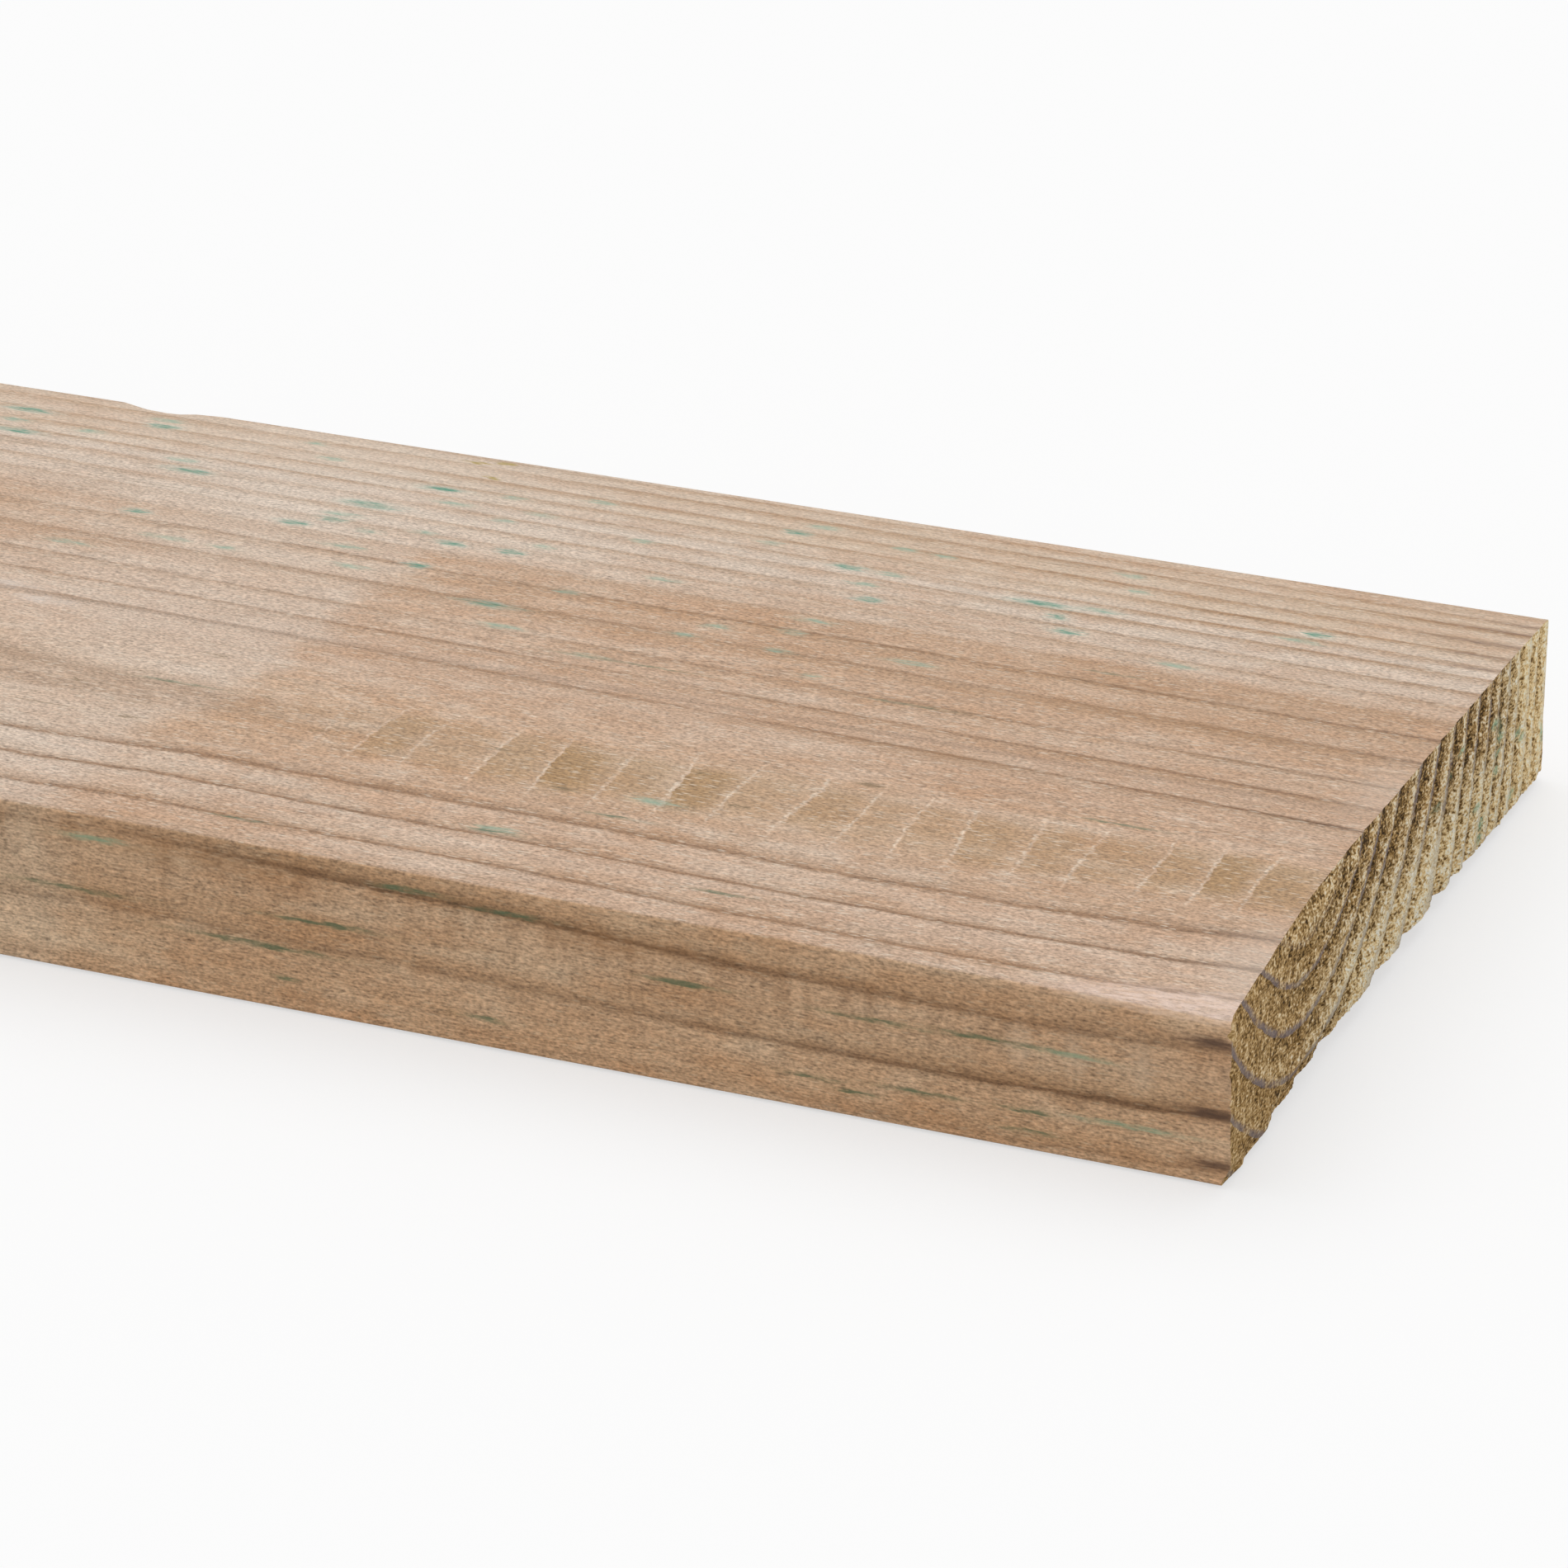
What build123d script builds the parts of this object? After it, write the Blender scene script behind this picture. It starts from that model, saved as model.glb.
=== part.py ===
from build123d import *
import os
from math import asin, degrees

# Timber batten: one length of planed softwood stock, a wide flat section sawn square at both ends.
# The board has dried with a cup: both wide faces bow up on the heart side, tightest over the heart,
# so the crown lies off the middle of the width. It lies heart side up on its two lower arrises.
# Frame: +X along the length, +Y across the width, +Z up, origin under the middle of the board.

# Driving dimensions in millimetres
LENGTH = 1800.0  # between the two sawn ends
WIDTH = 120.0  # across the upper face, from edge to edge
THICKNESS = 20.0  # square to the wide faces, even over the whole width
CUP = 2.4  # rise of the upper face at its crown, above its two edges
CROWN_FROM_EDGE = 48.0  # across the width, from the edge at -Y to the crown line
ARRIS_RADIUS = 1.0  # planed easing of the four long edges


def half_outline(reach, side):
    """Outline of the section from the crown out to one edge, with the crown of the upper face at (0, 0).

    Both wide faces are arcs about one centre straight below the crown. They are level at the crown
    and stay one thickness apart, and the narrow edge between their ends is radial.
    """
    radius = (reach**2 + CUP**2) / (2 * CUP)
    sweep = -side * degrees(asin(reach / radius))
    centre = (0, -radius)
    upper = CenterArc(centre, radius, 90, sweep)
    lower = CenterArc(centre, radius - THICKNESS, 90, sweep)
    edge = Line(upper @ 1, lower @ 1)
    return upper, edge, lower


def cupped_section():
    """Section of the board, the two halves joined at the crown and the four arrises eased."""
    near_upper, near_edge, near_lower = half_outline(CROWN_FROM_EDGE, -1)
    far_upper, far_edge, far_lower = half_outline(WIDTH - CROWN_FROM_EDGE, 1)
    outline = near_upper + near_edge + near_lower + far_lower + far_edge + far_upper
    section = make_face(outline.edges())
    arrises = [near_edge @ 0, near_edge @ 1, far_edge @ 0, far_edge @ 1]
    corners = [section.vertices().sort_by_distance(point)[0] for point in arrises]
    return fillet(corners, ARRIS_RADIUS)


def timber_batten():
    """The whole board, set down on the floor with its footprint centred on the origin."""
    board = extrude(Plane.YZ * cupped_section(), LENGTH / 2, both=True)
    box = board.bounding_box()
    board = Pos(0, -box.center().Y, -box.min.Z) * board
    board.label = "timber_batten"
    return board


os.makedirs("parts", exist_ok=True)
export_step(timber_batten(), "parts/timber_batten.step")
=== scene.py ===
import logging
import math
from dataclasses import dataclass
from enum import Enum
from typing import Any, Mapping

import bpy
import numpy as np
from mathutils import Matrix, Vector


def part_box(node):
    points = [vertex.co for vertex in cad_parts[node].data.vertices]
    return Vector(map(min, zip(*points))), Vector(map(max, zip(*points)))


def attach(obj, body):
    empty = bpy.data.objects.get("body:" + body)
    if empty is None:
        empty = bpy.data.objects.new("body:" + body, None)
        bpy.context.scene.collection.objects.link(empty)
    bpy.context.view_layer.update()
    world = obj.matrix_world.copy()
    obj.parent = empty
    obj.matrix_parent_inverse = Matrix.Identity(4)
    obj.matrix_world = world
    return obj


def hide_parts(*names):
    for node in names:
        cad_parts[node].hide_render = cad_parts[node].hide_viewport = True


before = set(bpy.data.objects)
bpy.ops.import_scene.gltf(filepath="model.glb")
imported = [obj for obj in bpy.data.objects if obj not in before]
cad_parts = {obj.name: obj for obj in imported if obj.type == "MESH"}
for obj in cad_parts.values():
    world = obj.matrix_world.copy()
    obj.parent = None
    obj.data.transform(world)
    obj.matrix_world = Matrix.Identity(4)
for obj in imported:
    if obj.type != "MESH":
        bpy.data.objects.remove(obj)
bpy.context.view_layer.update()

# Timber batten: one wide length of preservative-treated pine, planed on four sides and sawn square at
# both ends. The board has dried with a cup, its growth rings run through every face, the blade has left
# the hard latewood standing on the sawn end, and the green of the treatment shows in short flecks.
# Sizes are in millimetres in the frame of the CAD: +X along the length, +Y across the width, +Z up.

MM = 0.001
LATTICE = 256
NO_MARK = 9.0
YEAR_SHIFT = 0.45
log = logging.getLogger("timber_batten")
Socket = bpy.types.NodeSocket
Tree = bpy.types.NodeTree


def linear(code: str, alpha: float = 1.0) -> tuple[float, float, float, float]:
    """Turns an sRGB hex colour to linear light.

    Args:
        code: six hex digits after a #.
        alpha: fourth value of the result.

    Returns:
        Red, green, blue and alpha as shader sockets take them.
    """
    parts = [int(code[i:i + 2], 16) / 255 for i in (1, 3, 5)]
    low_high = [c / 12.92 if c <= 0.04045 else ((c + 0.055) / 1.055) ** 2.4 for c in parts]
    return (*low_high, alpha)


def add(tree: Tree, kind: str, feeds: Mapping[Any, Any] | None = None, out: int | str = 0,
        **settings: Any) -> Socket:
    """Adds one node, sets its properties and fills its inputs.

    Args:
        tree: node tree that takes the node.
        kind: node type without the word ShaderNode.
        feeds: values or sockets by input name or number.
        out: name or number of the output that is given back.
        **settings: node properties. stops fills a colour ramp with (place, colour) pairs.

    Returns:
        The chosen output socket.
    """
    made = tree.nodes.new("ShaderNode" + kind)
    stops = settings.pop("stops", None)
    for name, value in settings.items():
        setattr(made, name, value)
    if stops:
        ramp = made.color_ramp
        while len(ramp.elements) < len(stops):
            ramp.elements.new(1.0)
        for element, (place, colour) in zip(ramp.elements, stops):
            element.position = place
            element.color = linear(colour) if isinstance(colour, str) else (colour,) * 3 + (1.0,)
    for key, feed in (feeds or {}).items():
        if isinstance(feed, bpy.types.NodeSocket):
            tree.links.new(feed, made.inputs[key])
        else:
            made.inputs[key].default_value = feed
    return made.outputs[out]


def smooth_step(low: float | np.ndarray, high: float | np.ndarray, value: np.ndarray) -> np.ndarray:
    """Rises from 0 at low to 1 at high along 3t^2 - 2t^3."""
    t = np.clip((value - low) / (high - low), 0.0, 1.0)
    return t * t * (3 - 2 * t)


def lattice_noise(u: np.ndarray, v: np.ndarray, cell: float, seed: int) -> np.ndarray:
    """Gives a smooth random height between -1 and 1.

    Random values stand on a square lattice that repeats after LATTICE cells, and a point blends the
    four round it by the smooth step along each side of its cell.

    Args:
        u: first coordinate of the points.
        v: second coordinate of the points.
        cell: side of a lattice cell, in the same unit.
        seed: start of the random draw.

    Returns:
        One height for each point.
    """
    table = np.random.default_rng(seed).uniform(-1.0, 1.0, (LATTICE, LATTICE))
    a, b = u / cell, v / cell
    i, j = np.floor(a).astype(int), np.floor(b).astype(int)
    s, t = smooth_step(0, 1, a - i), smooth_step(0, 1, b - j)
    i, j, i_next, j_next = (k % LATTICE for k in (i, j, i + 1, j + 1))
    low = table[i, j] * (1 - s) + table[i_next, j] * s
    high = table[i, j_next] * (1 - s) + table[i_next, j_next] * s
    return low * (1 - t) + high * t


@dataclass(frozen=True)
class Chip:
    """A knocked or worn place, where the surface is pushed in."""

    centre: tuple[float, float, float]
    reach: tuple[float, float, float]
    push: tuple[float, float, float]

    def dent(self, points: np.ndarray) -> np.ndarray:
        """Gives how far each point moves: the push, fading by the smooth step to the end of the reach.

        Args:
            points: places on the sound surface, one row each.

        Returns:
            A movement for each point.
        """
        away = np.linalg.norm((points - self.centre) / self.reach, axis=-1)
        return smooth_step(1.0, 0.0, away)[..., None] * np.array(self.push)


@dataclass(frozen=True)
class CuppedSection:
    """Cross-section of the dried board: even thickness between two bowed faces, edges square to them."""

    width: float = 120.0
    thickness: float = 20.0
    cup: float = 2.4
    crown_from_edge: float = 48.0
    arris_radius: float = 0.4
    across: int = 400
    up: int = 100
    arris_steps: int = 8
    near_points: int = 200
    far_points: int = 300
    edge_points: int = 50

    def arc(self, reach: float, drop: float, low: float, high: float, count: int) -> np.ndarray:
        """Points of one bowed half, on a circle about a centre below the crown at (0, 0).

        The circle passes through the crown and lies one cup lower at the reach. A place along the
        upper face turns to an angle, and the point lies at that angle, drop nearer to the centre.

        Args:
            reach: distance across the board from the crown to the edge.
            drop: depth under the upper face.
            low: first angle as a share of the angle at the edge.
            high: last angle as a share of the angle at the edge.
            count: number of points.

        Returns:
            Rows of y and z.
        """
        radius = (reach ** 2 + self.cup ** 2) / (2 * self.cup)
        angle = math.asin(reach / radius) * np.linspace(low, high, count)
        return np.stack([(radius - drop) * np.sin(angle), (radius - drop) * np.cos(angle) - radius], -1)

    def corners(self) -> np.ndarray:
        """Sharp corners in order round the section.

        Returns:
            Rows of y and z: near low, far low, far high, near high.
        """
        near, far = self.crown_from_edge, self.width - self.crown_from_edge
        mirror = np.array([-1.0, 1.0])
        drops = ((near, self.thickness, mirror), (far, self.thickness, 1.0), (far, 0.0, 1.0),
                 (near, 0.0, mirror))
        return np.concatenate([self.arc(reach, drop, 1, 1, 1) * side for reach, drop, side in drops])

    def bowed(self, drop: float) -> np.ndarray:
        """Closely spaced points across one wide face, from the near edge to the far one.

        Args:
            drop: depth under the upper face.

        Returns:
            Rows of y and z.
        """
        near = self.arc(self.crown_from_edge, drop, 1, 0, self.near_points) * np.array([-1.0, 1.0])
        far = self.arc(self.width - self.crown_from_edge, drop, 0, 1, self.far_points)
        return np.concatenate([near, far[1:]])

    def side(self, path: np.ndarray, before: np.ndarray, after: np.ndarray, steps: int) -> np.ndarray:
        """Points along one side, from the middle of one rounded arris to the middle of the next.

        The path loses one arris radius at each end. A quarter circle joins it to the next side, and
        its half goes with this side: centre + radius * (the outward normals turned by 0 to 45 degrees).

        Args:
            path: closely spaced points between the sharp corners.
            before: direction from the first corner along the neighbouring side.
            after: direction from the last corner along the neighbouring side.
            steps: number of steps along the side.

        Returns:
            steps + 1 rows of y and z, the last one shared with the next side.
        """
        run = np.concatenate([[0.0], np.cumsum(np.linalg.norm(np.diff(path, axis=0), axis=1))])
        radius, turns = self.arris_radius, np.linspace(math.pi / 4, 0, self.arris_steps + 1)
        middle_run = np.linspace(radius, run[-1] - radius, steps - 2 * self.arris_steps + 1)
        middle = np.stack([np.interp(middle_run, run, path[:, k]) for k in (0, 1)], -1)
        first, last = path[1] - path[0], path[-2] - path[-1]
        bends = []
        for corner, along, beside in ((path[0], first, before), (path[-1], last, after)):
            along = along / np.linalg.norm(along)
            beside = beside / np.linalg.norm(beside)
            centre = corner + radius * (along + beside)
            bend = np.sin(turns)[:, None] * along + np.cos(turns)[:, None] * beside
            bends.append(centre - radius * bend)
        return np.concatenate([bends[0][:-1], middle, bends[1][::-1][1:]])

    def sides(self) -> list[np.ndarray]:
        """Four sides in order round the section as the +X end shows it, set on the floor of the CAD.

        Returns:
            Lower face, far edge, upper face and near edge, each with its last point shared.
        """
        near_low, far_low, far_high, near_high = self.corners()
        lower, upper = self.bowed(self.thickness), self.bowed(0.0)[::-1]
        far = np.linspace(far_low, far_high, self.edge_points)
        near = np.linspace(near_high, near_low, self.edge_points)
        made = [
            self.side(lower, near[-2] - near[-1], far[1] - far[0], self.across),
            self.side(far, lower[-2] - lower[-1], upper[1] - upper[0], self.up),
            self.side(upper, far[-2] - far[-1], near[1] - near[0], self.across),
            self.side(near, upper[-2] - upper[-1], lower[1] - lower[0], self.up),
        ]
        rim = np.concatenate(made)
        low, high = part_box("timber_batten")
        middle = (low.y + high.y) / 2 / MM
        shift = np.array([middle - (rim[:, 0].min() + rim[:, 0].max()) / 2, low.z / MM - rim[:, 1].min()])
        return [s + shift for s in made]


@dataclass(frozen=True)
class GrowthRings:
    """Where the year rings of the tree lie in the board, about a pith that runs above its upper face."""

    end_x: float = 900.0
    pith_y: float = -33.1
    pith_z: float = 39.0
    sway_y: float = 6.3
    sway_y_length: float = 250.0
    sway_z: float = 2.6
    sway_z_length: float = 170.0
    drop: float = 15.0
    drop_from: float = 50.0
    drop_to: float = 68.0
    crowding: float = 0.46
    crowded_from: float = 35.2
    near_waves: tuple[tuple[float, float], ...] = (
        (755.0, 0.4), (774.0, -0.45), (796.0, -0.15), (815.0, -0.15), (848.0, 0.3), (872.0, 0.25),
        (888.0, -0.15), (900.0, -0.8))
    edges: tuple[float, ...] = (
        0.0, 5.0, 10.0, 15.4, 21.2, 25.4, 30.5, 35.9, 43.5, 50.3, 54.9, 58.9, 63.5, 68.6, 72.5, 76.8, 81.1,
        86.0, 89.3, 93.5, 98.0, 102.5)

    def measure(self, points: np.ndarray) -> np.ndarray:
        """Gives each point its ring number, its distance from the pith and its angle round it.

        The pith sways as a sine of the distance from the seen end, and lies lower for the outer rings
        of the far side. On the near side the rings crowd together and wave along the board. The
        distance, made even by that, is looked up between the ring edges, so a whole number is the end
        of a year's growth.

        Args:
            points: rows of x, y and z.

        Returns:
            Rows of ring number, distance and angle.
        """
        back = self.end_x - points[:, 0]
        y = points[:, 1] - self.pith_y - self.sway_y * np.sin(back / self.sway_y_length)
        z = self.pith_z - self.sway_z * np.sin(back / self.sway_z_length) - points[:, 2]
        angle = np.arctan2(z, y)
        near = smooth_step(math.radians(60), math.radians(105), angle)
        sunk = self.drop * smooth_step(self.drop_from, self.drop_to, np.hypot(y, z)) * (1 - near)
        distance = np.hypot(y, z - sunk)
        wave = np.full(len(points), self.near_waves[0][1])
        for (start, low), (stop, high) in zip(self.near_waves, self.near_waves[1:]):
            wave += (high - low) * smooth_step(start, stop, points[:, 0])
        wave = wave * smooth_step(math.radians(95), math.radians(125), angle)
        crowd = near * self.crowding * np.maximum(distance - self.crowded_from, 0.0)
        number = np.interp(distance + crowd - wave, self.edges, np.arange(len(self.edges)))
        return np.stack([number, distance, angle], -1)


@dataclass(frozen=True)
class SawnEnd:
    """Relief of an end cut by a coarse blade: each ring rises to its latewood and drops behind it.

    The cut is clean on the heart side, apart from its broken upper and lower edges, and torn low down
    past it. A tooth is the drop at the start of a ring, in millimetres. The brow and the foot say how
    far the broken upper and lower edges lie back, by place across the board, the lean how far the cut
    runs out of square at the far edge, and ragged how deep the near corner is plucked.
    """

    seed: int
    ridge: float = 1.0
    teeth: tuple[float, ...] = (
        0.6, 0.6, 0.6, 0.6, 0.6, 0.6, 0.6, 0.8, 0.75, 1.25, 1.0, 0.55, 0.55, 0.5, 0.5, 0.5, 0.5, 0.5, 0.5,
        0.5, 0.5, 0.5)
    brow: tuple[tuple[float, float], ...] = (
        (-60.0, 0.25), (-47.0, 0.28), (-41.0, 0.5), (-32.0, 0.6), (-22.0, 0.48), (-12.0, 0.3), (-4.0, 0.08),
        (2.0, 0.0))
    foot: tuple[tuple[float, float], ...] = (
        (-60.0, 1.3), (-57.5, 0.9), (-55.7, 0.7), (-53.1, 0.34), (-52.0, 0.55), (-45.4, 0.1), (-42.3, 0.65),
        (-36.6, 0.35), (-34.1, 0.72), (-29.0, 0.35), (-25.6, 0.95), (-23.1, 0.4), (-14.3, 0.1),
        (-11.0, 0.0))
    lean: float = 0.25
    ragged: float = 0.7
    crown: tuple[float, float] = (-12.0, 22.3)
    bow: float = 960.0
    thickness: float = 20.0
    heart_from: float = -24.0
    heart_to: float = -10.0
    flat_from: float = 24.0
    flat_to: float = 38.0
    torn_top: float = 19.0
    torn_bottom: float = 3.0
    near_edge: float = -59.5
    near_clean: float = -53.0
    far_edge: float = 59.0
    top_edge: float = 20.5
    clump: float = 0.16
    fuzz: float = 0.12
    rim: float = 1.5

    def relief(self, points: np.ndarray, ring: np.ndarray) -> np.ndarray:
        """Gives how far the wood stands out of the saw plane.

        On the heart side the upper and lower edges fall back by a smooth step. Within a ring the height
        climbs from minus its tooth to 0 by a smooth step over the earlywood, stays through the latewood
        and drops at the ring's end. It fades upwards and towards both narrow edges. Clumps of torn
        fibre and single fibres are added on the soft earlywood, and the lean grows by a smooth step
        towards the far edge, from minus itself at the top to plus itself at the bottom. Where noise is
        above 0, the near corner is plucked back.

        Args:
            points: rows of x, y and z on the saw plane.
            ring: ring number of each point.

        Returns:
            One height for each point, in millimetres.
        """
        y, z = points[:, 1], points[:, 2]
        year = np.floor(ring).astype(int)
        share = ring - year
        climb = np.array(self.teeth)[year] * (smooth_step(0.0, 0.75, share) - 1.0)
        past_heart = smooth_step(self.heart_from, self.heart_to, y)
        torn = 0.1 + 0.9 * past_heart * smooth_step(self.torn_top, self.torn_bottom, z)
        torn = torn * (1 - 0.9 * smooth_step(self.flat_from, self.flat_to, y))
        torn = torn * smooth_step(self.near_edge, self.near_clean, y)
        soft = (1 - 0.7 * smooth_step(0.7, 0.85, share)) * (0.35 + 0.65 * smooth_step(-52.0, -20.0, y))
        inside = np.minimum(self.top_edge - z, np.minimum(y - self.near_edge, self.far_edge - y))
        soft = soft * (0.15 + 0.85 * smooth_step(0.0, self.rim, inside))
        clumps = lattice_noise(y, z, 1.5, self.seed + 1) + 0.6 * lattice_noise(y, z, 0.8, self.seed + 2)
        fibres = lattice_noise(y, z, 0.34, self.seed + 3)
        below_top = self.crown[1] - (y - self.crown[0]) ** 2 / self.bow - z
        broken = np.interp(y, *np.array(self.brow).T) * smooth_step(2.4, 0.0, below_top)
        broken += np.interp(y, *np.array(self.foot).T) * smooth_step(2.8, 0.1, self.thickness - below_top)
        lean = self.lean * (1 - z / 10.0) * smooth_step(20.0, 58.0, y)
        rough = soft * (self.clump * clumps + self.fuzz * fibres)
        tufts = np.maximum(lattice_noise(y, z, 0.9, self.seed + 4), 0.0) * smooth_step(-58.4, -59.8, y)
        return self.ridge * (torn * climb - broken + lean) - self.ragged * tufts + rough


def add_output(tree: Tree, shader: Socket) -> None:
    """Ends a material's nodes with the surface output."""
    output = tree.nodes.new("ShaderNodeOutputMaterial")
    tree.links.new(shader, output.inputs["Surface"])


class Stain(Enum):
    """What a mark on the wood looks like."""

    BLOOM = "pale dry patch"
    HAZE = "thin pale film"
    SHADE = "latewood cut flat"
    SMUDGE = "brown smudge"
    FLECK = "copper green fleck"
    TINGE = "faint green fleck"
    COPPER = "pale green fibres of the sawn end"
    STREAK = "dark green streak"
    SPECK = "brown speck"
    FRAY = "frayed arris"
    DUSK = "violet shadow along a ring line"
    YELLOW = "yellow spot"


@dataclass(frozen=True)
class StainLook:
    """Colour of a kind of mark, how much it covers, the share of its reach that covers fully, the
    colour, cover and reach of the halo round it, and whether the fibres break it up.
    """

    colour: str
    cover: float
    core: float
    halo: str = "#ffffff"
    halo_cover: float = 0.0
    halo_reach: float = 1.0
    broken: bool = False


@dataclass(frozen=True)
class Mark:
    """One mark, an ellipsoid in the wood whose cut through the face is seen."""

    kind: Stain
    place: tuple[float, float, float]
    size: tuple[float, float, float]


STAIN_LOOKS = {
    Stain.BLOOM: StainLook("#e2d8cf", 0.7, 0.1, broken=True),
    Stain.HAZE: StainLook("#dccbbc", 0.3, 0.1),
    Stain.SHADE: StainLook("#a07a56", 0.45, 0.1, broken=True),
    Stain.SMUDGE: StainLook("#574239", 0.85, 0.15, "#8a6d58", 0.4, 1.7),
    Stain.DUSK: StainLook("#7a655a", 0.6, 0.15, broken=True),
    Stain.YELLOW: StainLook("#a8924a", 0.85, 0.3),
    Stain.TINGE: StainLook("#78ab97", 0.6, 0.2, "#c3c4b2", 0.25, 1.6, True),
    Stain.FLECK: StainLook("#4a8b74", 0.9, 0.3, "#bdd2c6", 0.5, 1.7, True),
    Stain.COPPER: StainLook("#93c2a6", 0.65, 0.3, "#b9c4a4", 0.3, 1.8, True),
    Stain.STREAK: StainLook("#4d6b54", 0.75, 0.3, "#8d8a6c", 0.25, 1.8, True),
    Stain.SPECK: StainLook("#6b5a3f", 0.7, 0.3, "#9b8768", 0.3, 2.0),
    Stain.FRAY: StainLook("#efd6c8", 0.75, 0.5, broken=True)}


def mottle(tree: Tree, place: Socket, size: tuple[float, float, float], detail: float = 1.0,
           shift: float = 0.0) -> Socket:
    """Random tone about 0 in blotches of a real size: noise on the place divided by that size.

    Args:
        tree: the material's nodes.
        place: coordinates in millimetres.
        size: length of a blotch along each axis.
        detail: finer noise laid over it.
        shift: moves the pattern, so that two of one size differ.

    Returns:
        A tone from -0.5 to 0.5.
    """
    scaled = add(tree, "VectorMath", {0: place, 1: tuple(1 / s for s in size), 2: (shift,) * 3},
                 operation="MULTIPLY_ADD")
    noise = add(tree, "TexNoise", {"Vector": scaled, "Scale": 1.0, "Detail": detail})
    return add(tree, "Math", {0: noise, 1: 0.5}, operation="SUBTRACT")


def lay_stains(tree: Tree, mm: Socket, colour: Socket, marks: tuple[Mark, ...]) -> Socket:
    """Lays the marks over the wood, with edges frayed along the fibres.

    A mark covers by the distance from its middle, in shares of its size. Marks of one size are
    measured on one scaled place, so that each needs a single distance. Broken kinds show only on
    some of the fibres.

    Args:
        tree: the material's nodes.
        mm: place in millimetres.
        colour: colour before.
        marks: what is to be laid.

    Returns:
        Colour after.
    """
    scaled = add(tree, "VectorMath", {0: mm, 1: (0.45, 3.2, 3.2)}, operation="MULTIPLY")
    fray = add(tree, "TexNoise", {"Vector": scaled, "Scale": 1.0, "Detail": 2.0}, 1)
    fray = add(tree, "VectorMath", {0: fray, 1: (0.5, 0.5, 0.5)}, operation="SUBTRACT")
    frayed = add(tree, "VectorMath", {0: fray, 1: (6.0, 1.0, 1.0), 2: mm}, operation="MULTIPLY_ADD")
    fibres = mottle(tree, mm, (2.2, 0.45, 0.45), 2.0, 5.0)
    fibres = add(tree, "MapRange", {"Value": fibres, "From Min": -0.1, "From Max": 0.1, "To Min": 0.4})
    for kind, look in STAIN_LOOKS.items():
        chosen = [mark for mark in marks if mark.kind == kind]
        nearest: Any = NO_MARK
        for size in sorted({mark.size for mark in chosen}):
            scale = tuple(2 / s for s in size)
            scaled = add(tree, "VectorMath", {0: frayed, 1: scale}, operation="MULTIPLY")
            for mark in (m for m in chosen if m.size == size):
                middle = tuple(p * s for p, s in zip(mark.place, scale))
                away = add(tree, "VectorMath", {0: scaled, 1: middle}, "Value", operation="DISTANCE")
                nearest = add(tree, "Math", {0: away, 1: nearest}, operation="MINIMUM")
        layers = ((look.halo, look.halo_cover, look.core, look.halo_reach),
                  (look.colour, look.cover, look.core, 1.0))
        for tone, cover, core, reach in layers:
            if chosen and cover:
                share = add(tree, "MapRange", {
                    "Value": nearest, "From Min": core, "From Max": reach, "To Min": cover,
                    "To Max": 0.0}, interpolation_type="SMOOTHSTEP")
                if look.broken:
                    share = add(tree, "Math", {0: share, 1: fibres}, operation="MULTIPLY")
                colour = add(tree, "Mix", {0: share, 6: colour, 7: linear(tone)}, 2, data_type="RGBA")
    return colour


def by_year(tree: Tree, ring: Socket, strengths: tuple[float, ...]) -> Socket:
    """Strength of each ring's latewood, which changes in the next ring's earlywood, where none shows it.

    Args:
        tree: the material's nodes.
        ring: ring number of the point.
        strengths: one strength for each ring.

    Returns:
        The strength at the point.
    """
    count = len(strengths)
    year = add(tree, "Math", {0: ring, 1: 1 / count, 2: -YEAR_SHIFT / count}, operation="MULTIPLY_ADD")
    stops = tuple((k / count, strength) for k, strength in enumerate(strengths))
    stepped = add(tree, "ValToRGB", {0: year}, stops=stops)
    stepped.node.color_ramp.interpolation = "CONSTANT"
    return stepped


@dataclass(frozen=True)
class Tint:
    """A colour at a distance from the pith."""

    distance: float
    colour: str


@dataclass(frozen=True)
class Place:
    """What a finish knows of a point: its place in millimetres, its growth and its face."""

    mm: Socket
    x: Socket
    y: Socket
    z: Socket
    ring: Socket
    distance: Socket
    angle: Socket
    skin: Socket
    edge: Socket

    @classmethod
    def read(cls, tree: Tree) -> "Place":
        """Reads Object coordinates and the board's own attributes.

        Args:
            tree: the material's nodes.

        Returns:
            The sockets that the patterns use.
        """
        place = add(tree, "TexCoord", out="Object")
        mm = add(tree, "VectorMath", {0: place, "Scale": 1 / MM}, operation="SCALE")
        growth = add(tree, "Attribute", out="Vector", attribute_name="growth")
        skin = add(tree, "Attribute", out="Vector", attribute_name="skin")
        axes = add(tree, "SeparateXYZ", {0: mm}).node.outputs
        years = add(tree, "SeparateXYZ", {0: growth}).node.outputs
        edge = add(tree, "SeparateXYZ", {0: skin}, 2)
        return cls(mm, *axes, *years, skin, edge)


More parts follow.
